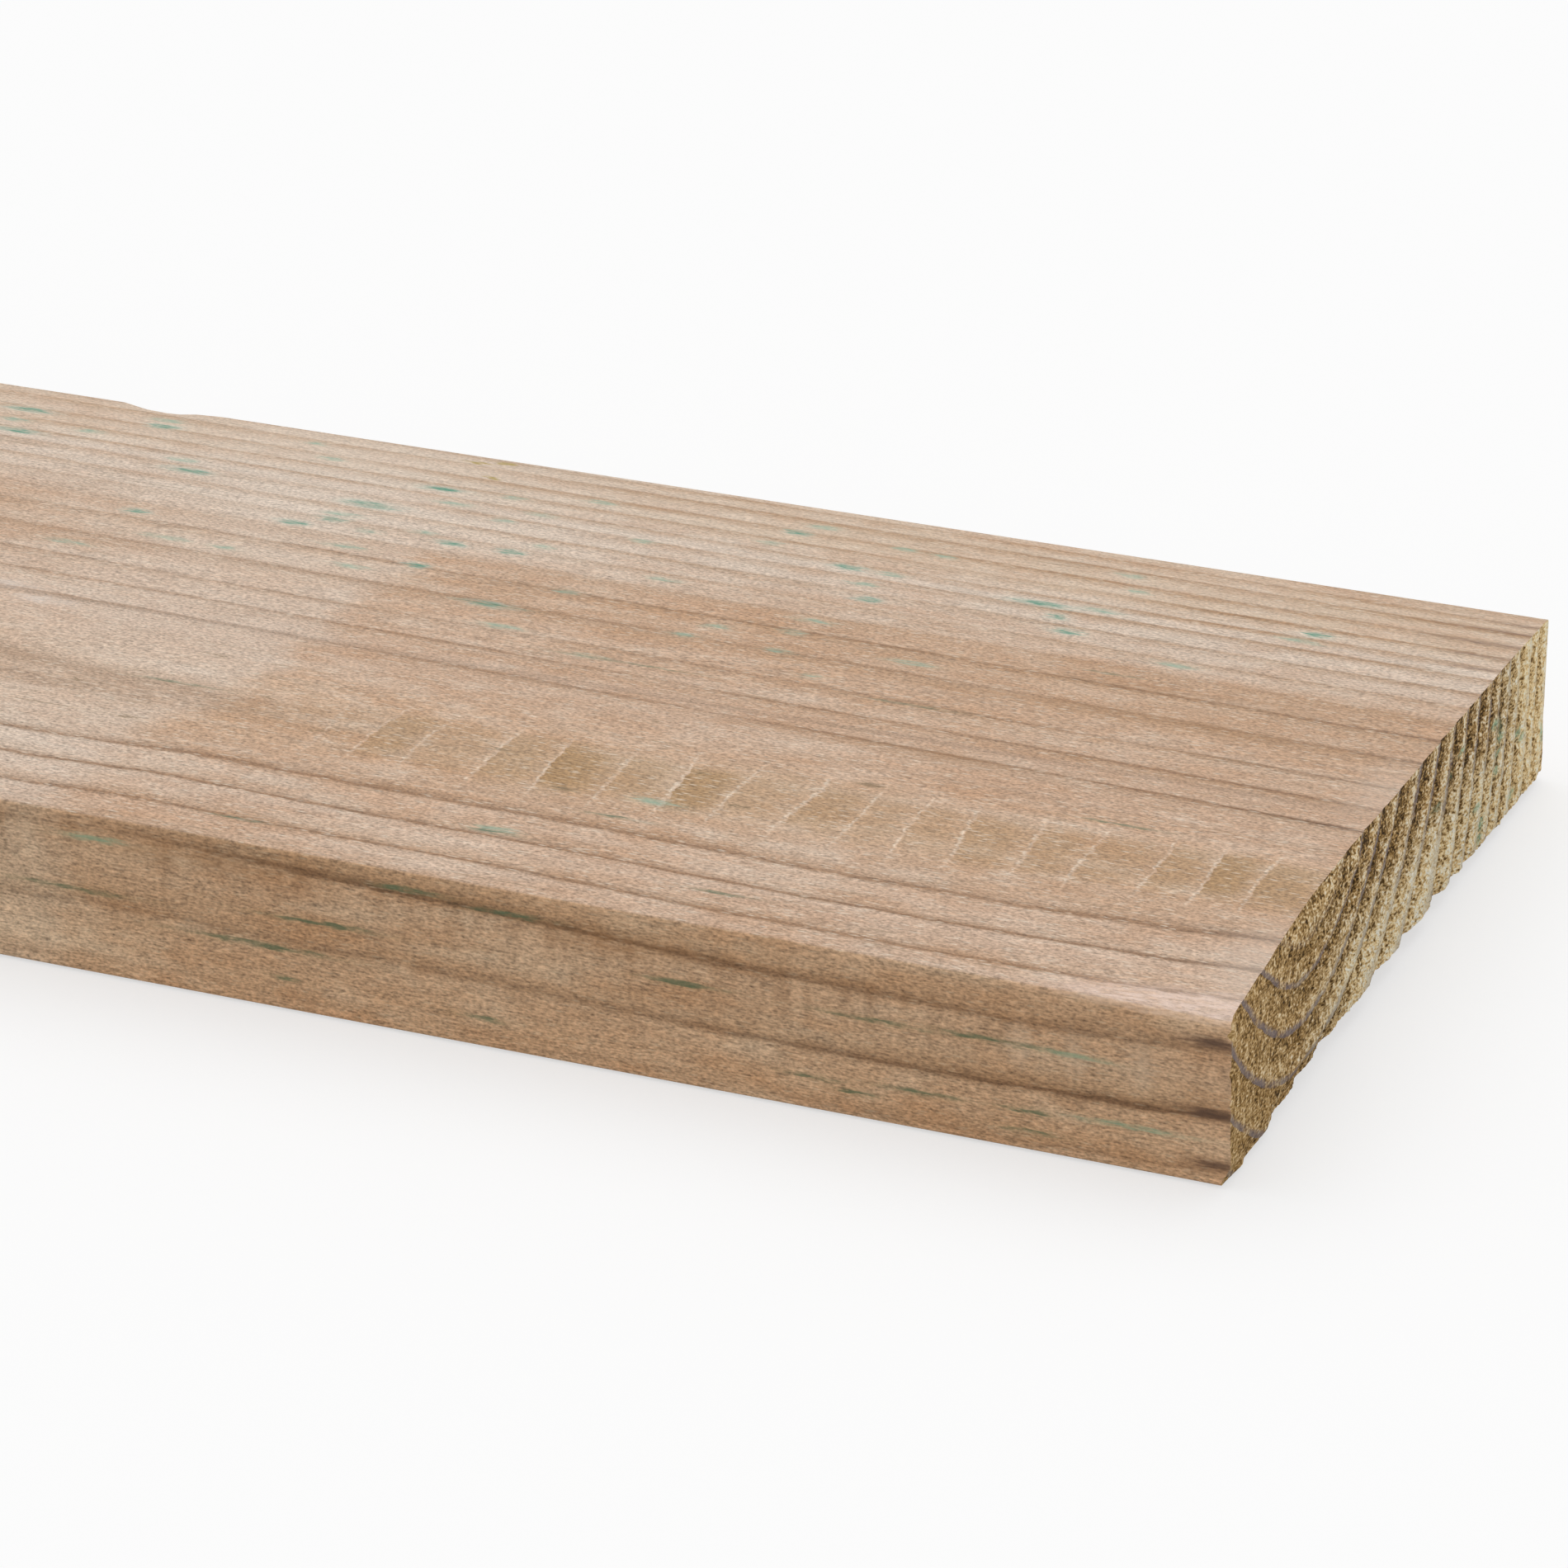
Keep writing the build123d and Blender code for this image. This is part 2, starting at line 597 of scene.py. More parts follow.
@dataclass(frozen=True)
class PlanedPine:
    """Preservative-treated pine, machine planed and dried.

    The eye sees a dry, matt, pinkish tan surface, thin brown latewood lines, a nap of torn fibres
    that catches the light, pale chatter of the cutter where the rings lie flat, and green flecks.
    """

    tints: tuple[Tint, ...] = (
        Tint(0.0, "#c2a184"), Tint(16.0, "#c2a184"), Tint(19.5, "#c5a58b"), Tint(25.0, "#c8ab94"),
        Tint(46.0, "#c5a68c"), Tint(56.0, "#c5a78e"), Tint(61.0, "#ccb5a1"), Tint(70.0, "#cfbba9"),
        Tint(77.0, "#cbb299"), Tint(92.0, "#c6ab91"))
    tint_reach: float = 120.0
    warm: str = "#a8835f"
    latewood: str = "#8b684b"
    latewood_by_end: str = "#745843"
    latewood_of_edge: str = "#664a35"
    pale: str = "#dccab8"
    ruddy: str = "#bb9271"
    bleached: str = "#d9cbbd"
    flat_cut: str = "#a5835a"
    brown: str = "#ad815a"
    nap: str = "#f1e2ce"
    pore: str = "#8d7a5e"
    edge_tone: tuple[float, float, float] = (1.03, 0.95, 0.8)
    line_strength: tuple[float, ...] = (
        0.3, 0.3, 0.8, 1.0, 1.1, 1.0, 0.85, 0.85, 1.0, 0.2, 0.15, 0.2, 0.3, 0.3, 0.34, 0.38, 0.38, 0.3, 0.3,
        0.3, 0.3)
    band_strength: tuple[float, ...] = (
        0.5, 0.5, 0.7, 0.5, 0.55, 0.65, 0.65, 0.9, 1.0, 0.75, 0.75, 1.1, 1.3, 1.4, 1.4, 1.5, 1.5, 1.2, 1.2,
        1.2, 1.2)
    edge_strength: tuple[float, ...] = (
        0.5, 0.5, 0.5, 0.5, 0.5, 0.8, 1.0, 0.9, 0.35, 0.5, 0.5, 0.5, 0.5, 0.5, 0.5, 0.5, 0.5, 0.6, 0.6, 0.6,
        0.6)
    band_profile: tuple[tuple[float, float], ...] = (
        (0.0, 0.2), (0.06, 0.0), (0.4, 0.0), (0.7, 0.32), (0.92, 0.6), (1.0, 0.2))
    line_profile: tuple[tuple[float, float], ...] = (
        (0.0, 0.22), (0.05, 0.0), (0.74, 0.0), (0.87, 0.28), (0.93, 0.75), (0.96, 0.75), (1.0, 0.22))
    flat_middle: float = -31.2
    chatter: float = 7.0
    fibre_height: float = 0.12
    nap_height: float = 0.06
    roughness: float = 0.72

    def make(self, marks: tuple[Mark, ...]) -> bpy.types.Material:
        """Builds the node material.

        Args:
            marks: stains placed one by one.

        Returns:
            The finished material.
        """
        material = bpy.data.materials.new("treated_pine_planed")
        material.use_nodes = True
        tree = material.node_tree
        tree.nodes.clear()
        at = Place.read(tree)
        broad, late = self.latewood_shares(tree, at)
        grain, fine = self.grain(tree, at)
        nap = self.nap_strokes(tree, at)
        colour = self.patches(tree, at, self.heart_to_bark(tree, at))
        colour = self.flat_rings(tree, at, colour)
        near_end = add(tree, "Math", {0: at.x}, operation="ABSOLUTE")
        near_end = add(tree, "MapRange", {"Value": near_end, "From Min": 880.0, "From Max": 900.0},
                       interpolation_type="SMOOTHSTEP")
        line = add(tree, "Mix", {0: near_end, 6: linear(self.latewood), 7: linear(self.latewood_by_end)}, 2,
                   data_type="RGBA")
        line = add(tree, "Mix", {0: at.edge, 6: line, 7: linear(self.latewood_of_edge)}, 2,
                   data_type="RGBA")
        colour = add(tree, "Mix", {0: broad, 6: colour, 7: linear(self.warm)}, 2, data_type="RGBA")
        colour = add(tree, "Mix", {0: late, 6: colour, 7: line}, 2, data_type="RGBA")
        colour = add(tree, "VectorMath", {0: colour, "Scale": grain}, operation="SCALE")
        for share, tone in ((self.pores(tree, at), self.pore), (nap, self.nap)):
            colour = add(tree, "Mix", {0: share, 6: colour, 7: linear(tone)}, 2, data_type="RGBA")
        colour = lay_stains(tree, at.mm, colour, marks)
        toned = add(tree, "VectorMath", {0: colour, 1: self.edge_tone}, operation="MULTIPLY")
        # Painted light: the narrow edges lighter towards the floor, cancelling the shade where the board
        # lies on it.
        painted_floor_light_on_edge = add(tree, "MapRange", {"Value": at.z, "From Min": 8.0, "From Max": 0.5, "To Min": 1.0,
                                         "To Max": 1.16})
        toned = add(tree, "VectorMath", {0: toned, "Scale": painted_floor_light_on_edge}, operation="SCALE")
        colour = add(tree, "Mix", {0: at.edge, 6: colour, 7: toned}, 2, data_type="RGBA")

        height = add(tree, "Math", {0: fine, 1: self.fibre_height}, operation="MULTIPLY")
        height = add(tree, "Math", {0: nap, 1: self.nap_height, 2: height}, operation="MULTIPLY_ADD")
        bump = add(tree, "Bump", {"Strength": 1.0, "Distance": MM, "Height": height})
        shader = add(tree, "BsdfPrincipled", {
            "Base Color": colour, "Roughness": self.roughness, "Specular IOR Level": 0.25, "Normal": bump})
        add_output(tree, shader)
        return material

    def latewood_shares(self, tree: Tree, at: Place) -> tuple[Socket, Socket]:
        """Broad brown and thin dark latewood: it grows slowly through a ring and stops short at its end.

        The strength of a ring's line has its own values on the narrow edges. Lines are deeper towards the
        seen end, and faint where the innermost rings run out on the far side of the heart.

        Args:
            tree: the material's nodes.
            at: what is known of the point.

        Returns:
            Factors from 0 to 1, the broad one and the thin one.
        """
        ring = at.ring
        for size, sway in (((70.0, 9.0, 9.0), 0.14), ((9.0, 1.2, 1.2), 0.1), ((1.8, 0.5, 0.5), 0.07)):
            ring = add(tree, "Math", {0: mottle(tree, at.mm, size), 1: sway, 2: ring},
                       operation="MULTIPLY_ADD")
        share = add(tree, "Math", {0: ring}, operation="FRACT")
        deeper = add(tree, "MapRange", {"Value": at.x, "From Min": 760.0, "From Max": 890.0, "To Min": 0.6,
                                        "To Max": 1.05})
        wisps = add(tree, "MapRange", {"Value": mottle(tree, at.mm, (26.0, 2.2, 2.2), 2.0, 9.0),
                                       "From Min": -0.2, "From Max": 0.2, "To Min": 0.45, "To Max": 1.25})
        uneven = add(tree, "Math", {0: deeper, 1: wisps}, operation="MULTIPLY")
        past = add(tree, "MapRange", {"Value": at.y, "From Min": -40.0, "From Max": -30.0})
        uneven = add(tree, "Mix", {0: past, 2: 0.95, 3: uneven}, data_type="FLOAT")
        inner = add(tree, "MapRange", {"Value": at.distance, "From Min": 21.5, "From Max": 23.0})
        heart = add(tree, "MapRange", {"Value": at.distance, "From Min": 17.0, "From Max": 16.0,
                                       "To Max": 0.8})
        near = add(tree, "MapRange", {"Value": at.y, "From Min": -32.0, "From Max": -40.0, "To Min": 0.2})
        for part in (inner, heart):
            near = add(tree, "Math", {0: part, 1: near}, operation="MAXIMUM")
        uneven = add(tree, "Math", {0: uneven, 1: near}, operation="MULTIPLY")
        on_edge = by_year(tree, ring, self.edge_strength)
        upper_line = add(tree, "MapRange", {"Value": at.x, "From Min": 838.0, "From Max": 862.0,
                                            "To Min": 0.95, "To Max": 0.55})
        fading = add(tree, "MapRange", {"Value": at.x, "From Min": 772.0, "From Max": 792.0,
                                        "To Min": 0.35})
        upper_line = add(tree, "Math", {0: upper_line, 1: fading}, operation="MULTIPLY")
        lower_line = add(tree, "MapRange", {"Value": at.x, "From Min": 825.0, "From Max": 885.0,
                                            "To Min": 0.4, "To Max": 1.1})
        high = add(tree, "MapRange", {"Value": at.z, "From Min": 11.5, "From Max": 14.0})
        along = add(tree, "Mix", {0: high, 2: lower_line, 3: upper_line}, data_type="FLOAT")
        on_edge = add(tree, "Math", {0: on_edge, 1: along}, operation="MULTIPLY")
        shares = []
        for strengths, profile in ((self.band_strength, self.band_profile),
                                   (self.line_strength, self.line_profile)):
            depth = add(tree, "ValToRGB", {0: share}, stops=profile)
            strength = by_year(tree, ring, strengths)
            strength = add(tree, "Math", {0: strength, 1: uneven}, operation="MULTIPLY")
            strength = add(tree, "Mix", {0: at.edge, 2: strength, 3: on_edge}, data_type="FLOAT")
            shares.append(add(tree, "Math", {0: depth, 1: strength}, operation="MULTIPLY",
                              use_clamp=True))
        return shares[0], shares[1]

    def heart_to_bark(self, tree: Tree, at: Place) -> Socket:
        """Colour of the earlywood by its distance from the pith: tan by the heart, pale in the sapwood."""
        share = add(tree, "Math", {0: at.distance, 1: 1 / self.tint_reach}, operation="MULTIPLY")
        return add(tree, "ValToRGB", {0: share}, stops=tuple(
            (tint.distance / self.tint_reach, tint.colour) for tint in self.tints))

    def patches(self, tree: Tree, at: Place, colour: Socket) -> Socket:
        """Mottles the colour with long pale and ruddy patches, and bleaches a band across the board.

        Args:
            tree: the material's nodes.
            at: what is known of the point.
            colour: colour before.

        Returns:
            Colour after.
        """
        for shift, size, tone, most in ((0.0, (40.0, 6.0, 6.0), self.pale, 0.4),
                                        (300.0, (30.0, 5.0, 5.0), self.ruddy, 0.55),
                                        (150.0, (9.0, 3.6, 3.6), self.pale, 0.35),
                                        (500.0, (8.0, 3.2, 3.2), self.ruddy, 0.4)):
            share = add(tree, "MapRange", {"Value": mottle(tree, at.mm, size, 2.0, shift), "From Min": 0.0,
                                           "From Max": 0.22, "To Max": most})
            colour = add(tree, "Mix", {0: share, 6: colour, 7: linear(tone)}, 2, data_type="RGBA")
        ragged = add(tree, "Math", {0: mottle(tree, at.mm, (9.0, 5.0, 5.0), 2.0), 1: 8.0, 2: at.x},
                     operation="MULTIPLY_ADD")
        rising = add(tree, "MapRange", {"Value": at.y, "From Min": -22.0, "From Max": -13.0})
        falling = add(tree, "MapRange", {"Value": at.y, "From Min": 23.0, "From Max": 17.0})
        brown = add(tree, "MapRange", {"Value": at.x, "From Min": 772.0, "From Max": 850.0, "To Min": 0.08,
                                       "To Max": 0.26})
        for part in (rising, falling):
            brown = add(tree, "Math", {0: brown, 1: part}, operation="MULTIPLY")
        colour = add(tree, "Mix", {0: brown, 6: colour, 7: linear(self.brown)}, 2, data_type="RGBA")
        bound = add(tree, "MapRange", {"Value": at.y, "From Min": -45.0, "From Max": -25.0, "To Min": 765.5,
                                       "To Max": 772.0})
        left = add(tree, "Math", {0: bound, 1: ragged}, operation="SUBTRACT")
        share = add(tree, "MapRange", {"Value": left, "From Min": -2.0, "From Max": 2.5, "To Max": 0.4})
        covered = add(tree, "MapRange", {"Value": ragged, "From Min": 708.0, "From Max": 746.0})
        share = add(tree, "Math", {0: share, 1: covered}, operation="MULTIPLY")
        open_far = add(tree, "MapRange", {"Value": at.y, "From Min": 21.0, "From Max": 23.5,
                                          "To Max": 0.55})
        open_left = add(tree, "MapRange", {"Value": ragged, "From Min": 815.0, "From Max": 755.0,
                                           "To Min": 0.3})
        covered = add(tree, "MapRange", {"Value": covered, "To Min": 0.5})
        for part in (open_left, covered):
            open_far = add(tree, "Math", {0: open_far, 1: part}, operation="MULTIPLY")
        share = add(tree, "Math", {0: share, 1: open_far}, operation="MAXIMUM")
        return add(tree, "Mix", {0: share, 6: colour, 7: linear(self.bleached)}, 2, data_type="RGBA")

    def flat_rings(self, tree: Tree, at: Place, colour: Socket) -> Socket:
        """Darkens the heart where a ring lies flat in the face, in blocks between cutter marks.

        The marks follow a saw-tooth of the place along the board, one tooth for each beat of the
        cutter, uneven by noise: dark after the mark and fading, with a pale torn stroke before the next.
        On the narrow edge dark streaks of the same chatter hang under the first ring line.

        Args:
            tree: the material's nodes.
            at: what is known of the point.
            colour: colour before.

        Returns:
            Colour after.
        """
        off = add(tree, "Math", {0: mottle(tree, at.mm, (14.0, 6.0, 6.0)), 1: 5.0, 2: at.y},
                  operation="MULTIPLY_ADD")
        off = add(tree, "Math", {0: off, 1: self.flat_middle}, operation="SUBTRACT")
        off = add(tree, "Math", {0: off}, operation="ABSOLUTE")
        shown = add(tree, "Math", {0: at.x}, operation="ABSOLUTE")
        shown = add(tree, "MapRange", {"Value": shown, "From Min": 772.0, "From Max": 800.0})
        top = add(tree, "MapRange", {"Value": at.z, "From Min": 18.0, "From Max": 19.0})
        shown = add(tree, "Math", {0: shown, 1: top}, operation="MULTIPLY")
        beat = mottle(tree, at.mm, (16.0, 40.0, 40.0), 1.0, 31.0)
        beat = add(tree, "Math", {0: beat, 1: 1.5}, operation="MULTIPLY")
        beat = add(tree, "Math", {0: at.x, 1: 1 / self.chatter, 2: beat}, operation="MULTIPLY_ADD")
        crumbs = mottle(tree, at.mm, (1.3, 0.8, 0.8), 1.0, 11.0)
        beat = add(tree, "Math", {0: crumbs, 1: 0.16, 2: beat}, operation="MULTIPLY_ADD")
        number = add(tree, "Math", {0: beat}, operation="FLOOR")
        beat = add(tree, "Math", {0: beat}, operation="FRACT")
        blocks = add(tree, "ValToRGB", {0: beat}, stops=((0.0, 0.95), (0.6, 0.85), (0.9, 0.4), (1.0, 0.15)))
        luck = add(tree, "TexWhiteNoise", {"W": number}, noise_dimensions="1D")
        luck = add(tree, "MapRange", {"Value": luck, "To Min": 0.3})
        band = add(tree, "MapRange", {"Value": off, "From Min": 7.6, "From Max": 3.2},
                   interpolation_type="SMOOTHSTEP")
        for part in (blocks, luck, shown):
            band = add(tree, "Math", {0: band, 1: part}, operation="MULTIPLY")
        colour = add(tree, "Mix", {0: band, 6: colour, 7: linear(self.flat_cut)}, 2, data_type="RGBA")
        torn = add(tree, "ValToRGB", {0: beat}, stops=((0.0, 0.0), (0.915, 0.0), (0.955, 1.0), (1.0, 0.0)))
        torn_band = add(tree, "MapRange", {"Value": off, "From Min": 9.0, "From Max": 6.0, "To Max": 0.55})
        broken = add(tree, "MapRange", {"Value": crumbs, "From Min": -0.06, "From Max": 0.12,
                                        "To Min": 0.2})
        for part in (torn_band, broken, shown):
            torn = add(tree, "Math", {0: torn, 1: part}, operation="MULTIPLY")
        colour = add(tree, "Mix", {0: torn, 6: colour, 7: linear(self.nap)}, 2, data_type="RGBA")

        under = add(tree, "MapRange", {"Value": at.distance, "From Min": 40.0, "From Max": 35.6})
        past = add(tree, "MapRange", {"Value": at.distance, "From Min": 34.6, "From Max": 35.4})
        under = add(tree, "Math", {0: under, 1: past}, operation="MULTIPLY")
        under = add(tree, "Math", {0: under, 1: at.edge}, operation="MULTIPLY")
        streaks = add(tree, "MapRange", {"Value": mottle(tree, at.mm, (2.4, 30.0, 12.0), 2.0, 31.0),
                                         "From Min": -0.05, "From Max": 0.2, "To Max": 0.5})
        under = add(tree, "Math", {0: under, 1: streaks}, operation="MULTIPLY")
        return add(tree, "Mix", {0: under, 6: colour, 7: linear(self.latewood)}, 2, data_type="RGBA")

    def grain(self, tree: Tree, at: Place) -> tuple[Socket, Socket]:
        """Fibres along the board at five sizes, as a tone about 1, fainter by the far edge.

        A fibre of 0.03 mm is too fine to show, so bundles of 0.2 mm and more stand for the fibres.

        Args:
            tree: the material's nodes.
            at: what is known of the point.

        Returns:
            A factor for the colour, and the two finest sizes of it alone.
        """
        fine: Any = 0.0
        for length, width, wide, narrow in ((0.5, 0.26, 1.5, 1.5), (2.0, 0.2, 0.35, 0.85)):
            depth = add(tree, "Math", {0: at.edge, 1: narrow - wide, 2: wide}, operation="MULTIPLY_ADD")
            fibres = mottle(tree, at.mm, (length, width, width))
            fine = add(tree, "Math", {0: fibres, 1: depth, 2: fine}, operation="MULTIPLY_ADD")
        calm = add(tree, "MapRange", {"Value": at.y, "From Min": 32.0, "From Max": 50.0, "To Min": 1.0,
                                      "To Max": 0.7})
        fine = add(tree, "Math", {0: fine, 1: calm}, operation="MULTIPLY")
        tone = add(tree, "Math", {0: fine, 1: 1.0}, operation="ADD")
        coarse: Any = 0.0
        for length, width, depth in ((22.0, 1.4, 0.13), (6.0, 0.7, 0.14), (1.8, 0.4, 0.12)):
            fibres = mottle(tree, at.mm, (length, width, width))
            coarse = add(tree, "Math", {0: fibres, 1: depth, 2: coarse}, operation="MULTIPLY_ADD")
        milder = add(tree, "MapRange", {"Value": at.edge, "To Min": 1.0, "To Max": 0.5})
        return add(tree, "Math", {0: coarse, 1: milder, 2: tone}, operation="MULTIPLY_ADD"), fine

    def nap_strokes(self, tree: Tree, at: Place) -> Socket:
        """Loose pale fibre ends: short strokes at a slant to the grain, one in a few stretched cells.

        They are drawn about 0.1 mm wide, coarser than a real fibre, to show.

        Args:
            tree: the material's nodes.
            at: what is known of the point.

        Returns:
            A factor from 0 to 1.
        """
        most: Any = 0.0
        for turn, length, width in ((0.6, 1.5, 0.32), (-0.2, 2.0, 0.3)):
            turned = add(tree, "Mapping", {"Vector": at.skin, "Rotation": (0.0, 0.0, turn),
                                           "Scale": (1 / length, 1 / width, 0.0)})
            cell = add(tree, "TexVoronoi", {"Vector": turned, "Scale": 1.0}, voronoi_dimensions="2D")
            luck = add(tree, "SeparateColor", {0: cell.node.outputs["Color"]})
            chosen = add(tree, "MapRange", {"Value": luck, "From Min": 0.82, "From Max": 1.0,
                                            "To Max": 0.7})
            stroke = add(tree, "MapRange", {"Value": cell, "From Min": 0.1, "From Max": 0.45, "To Min": 1.0,
                                            "To Max": 0.0})
            stroke = add(tree, "Math", {0: stroke, 1: chosen}, operation="MULTIPLY")
            most = add(tree, "Math", {0: stroke, 1: most}, operation="MAXIMUM")
        faint = add(tree, "MapRange", {"Value": at.edge, "To Min": 1.0, "To Max": 0.4})
        return add(tree, "Math", {0: most, 1: faint}, operation="MULTIPLY")

    def pores(self, tree: Tree, at: Place) -> Socket:
        """Resin canals cut lengthwise: thin dark dashes along the grain.

        Args:
            tree: the material's nodes.
            at: what is known of the point.

        Returns:
            A factor from 0 to 1.
        """
        dash = mottle(tree, at.mm, (13.0, 0.26, 0.26), 1.0, 70.0)
        most = add(tree, "MapRange", {"Value": at.edge, "To Min": 0.5, "To Max": 0.15})
        return add(tree, "MapRange", {"Value": dash, "From Min": 0.15, "From Max": 0.26, "To Max": most})


@dataclass(frozen=True)
class SawnPine:
    """The same pine cut across the grain by a coarse circular blade.

    The eye sees olive brown torn earlywood with cream tufts and dark pits, the pits partly painted shade
    and the tufts partly painted highlight, and smooth arcs of latewood, violet grey by the heart and pale
    towards the bark. Low down past the heart the end is paler by painted light from the floor, and its
    smooth latewood by a painted reflection of it.
    """

    # From dark to pale the torn tones follow the tear height: partly the torn wood's own olive and cream,
    # partly painted shade in the sunk pits and painted highlight on the raised tufts.
    torn_dark: tuple[str, ...] = ("#3d2a0d", "#876737", "#bf9a64", "#efd2a2", "#fff2d6")
    # torn_pale and latewood_pale serve where the end is pale: low down past the heart that is painted light
    # from the floor, with a painted reflection in the smooth latewood; by the far edge it is the pale outer
    # wood.
    torn_pale: tuple[str, ...] = ("#70542a", "#dcb980", "#fde3b0", "#fff6d8", "#fffbec")
    torn_heights: tuple[float, ...] = (0.14, 0.36, 0.54, 0.72, 0.92)
    ring_strength: tuple[float, ...] = (
        0.0, 0.0, 0.0, 0.2, 0.9, 1.0, 1.0, 0.9, 0.9, 0.8, 0.7, 0.9, 0.8, 0.6, 0.8, 0.6, 0.6, 0.5, 0.5, 0.5,
        0.5)
    latewood: str = "#7e7274"
    latewood_pale: str = "#e3d6ba"
    even_height: float = 0.47
    tear_height: float = 0.35
    roughness: float = 0.85

    def make(self, marks: tuple[Mark, ...]) -> bpy.types.Material:
        """Builds the node material.

        Args:
            marks: stains placed one by one.

        Returns:
            The finished material.
        """
        material = bpy.data.materials.new("treated_pine_sawn_end")
        material.use_nodes = True
        tree = material.node_tree
        tree.nodes.clear()
        at = Place.read(tree)
        ring = add(tree, "Math", {0: mottle(tree, at.mm, (60.0, 3.0, 3.0)), 1: 0.12, 2: at.ring},
                   operation="MULTIPLY_ADD")
        share = add(tree, "Math", {0: ring}, operation="FRACT")
        torn = self.tears_and_painted_shade(tree, at, share)
        pale = self.sapwood_and_painted_floor_light(tree, at)
        tones = []
        # Colour by tear height: painted shade where the end is sunk, painted highlight where it stands out,
        # over the wood's own tone.
        for tint in (self.torn_dark, self.torn_pale):
            tones.append(add(tree, "ValToRGB", {0: torn}, stops=tuple(zip(self.torn_heights, tint))))
        # pale mixes in painted floor light low down past the heart, and the pale outer wood by the far
        # edge.
        colour = add(tree, "Mix", {0: pale, 6: tones[0], 7: tones[1]}, 2, data_type="RGBA")
        late = self.latewood_bands(tree, at, share, pale)
        band = add(tree, "Mix", {0: pale, 6: linear(self.latewood), 7: linear(self.latewood_pale)}, 2,
                   data_type="RGBA")
        colour = add(tree, "Mix", {0: late, 6: colour, 7: band}, 2, data_type="RGBA")
        colour = lay_stains(tree, at.mm, colour, marks)
        height = add(tree, "Math", {0: torn, 1: self.tear_height}, operation="MULTIPLY")
        bump = add(tree, "Bump", {"Strength": 1.0, "Distance": MM, "Height": height})
        shader = add(tree, "BsdfPrincipled", {
            "Base Color": colour, "Roughness": self.roughness, "Specular IOR Level": 0.15, "Normal": bump})
        add_output(tree, shader)
        return material

    def tears_and_painted_shade(self, tree: Tree, at: Place, share: Socket) -> Socket:
        """Torn fibre: dark pits at a ring's start and tufts before its latewood, partly the wood's own tone
        and partly painted shade in the sunk pits and painted highlight on the raised tufts.

        Streaks along the rays, clumps and single fibre ends are added to that. All of it is faint by
        the near edge, where the blade ran clean, and calmer in the sapwood by the far edge.

        Args:
            tree: the material's nodes.
            at: what is known of the point.
            share: place within the ring, from 0 to 1.

        Returns:
            A height from about 0 to 1.
        """
        around = add(tree, "Math", {0: at.angle, 1: 45.0}, operation="MULTIPLY")
        rays = add(tree, "CombineXYZ", {0: at.distance, 1: around})
        tone = add(tree, "ValToRGB", {0: share}, stops=(
            (0.0, 0.32), (0.12, 0.31), (0.45, 0.46), (0.75, 0.63), (0.92, 0.6), (1.0, 0.34)))
        tone = add(tree, "Math", {0: tone, 1: self.even_height}, operation="SUBTRACT")
        banded = add(tree, "MapRange", {"Value": at.y, "From Min": -50.0, "From Max": 0.0, "To Min": 0.35,
                                        "To Max": 1.35})
        calm = add(tree, "MapRange", {"Value": at.y, "From Min": 20.0, "From Max": 48.0, "To Min": 1.0,
                                      "To Max": 0.72})
        for part in (banded, calm):
            tone = add(tree, "Math", {0: tone, 1: part}, operation="MULTIPLY")
        for place, size, detail, depth in ((rays, (2.2, 0.4, 1.0), 2.0, 0.4),
                                           (at.mm, (60.0, 1.1, 1.2), 3.0, 1.3),
                                           (at.mm, (60.0, 0.6, 0.3), 1.0, 1.5)):
            tone = add(tree, "Math", {0: mottle(tree, place, size, detail), 1: depth, 2: tone},
                       operation="MULTIPLY_ADD")
        rough = add(tree, "MapRange", {"Value": at.y, "From Min": -58.0, "From Max": -16.0, "To Min": 0.66})
        calm = add(tree, "MapRange", {"Value": at.y, "From Min": 40.0, "From Max": 54.0, "To Min": 1.0,
                                      "To Max": 0.75})
        rough = add(tree, "Math", {0: rough, 1: calm}, operation="MULTIPLY")
        return add(tree, "Math", {0: tone, 1: rough, 2: self.even_height}, operation="MULTIPLY_ADD")

    def sapwood_and_painted_floor_light(self, tree: Tree, at: Place) -> Socket:
        """Paleness of the end: low down past the heart it is painted light from the floor, with a painted
        reflection of it in the smooth latewood, and all over by the far edge it is the pale outer wood's
        own.

        Args:
            tree: the material's nodes.
            at: what is known of the point.

        Returns:
            A factor from 0 to 1.
        """
        out = add(tree, "MapRange", {"Value": at.y, "From Min": -36.0, "From Max": -14.0, "To Max": 0.82})
        # Painted light: the end paler low down past the heart, as if lit by the floor.
        low = add(tree, "MapRange", {"Value": at.z, "From Min": 16.0, "From Max": 8.0})
        share = add(tree, "Math", {0: out, 1: low}, operation="MULTIPLY")
        bark = add(tree, "MapRange", {"Value": at.y, "From Min": 36.0, "From Max": 50.0})
        share = add(tree, "Math", {0: share, 1: bark}, operation="MAXIMUM")
        return add(tree, "Math", {0: mottle(tree, at.mm, (60.0, 5.0, 5.0), 2.0), 1: 0.8, 2: share},
                   operation="MULTIPLY_ADD", use_clamp=True)

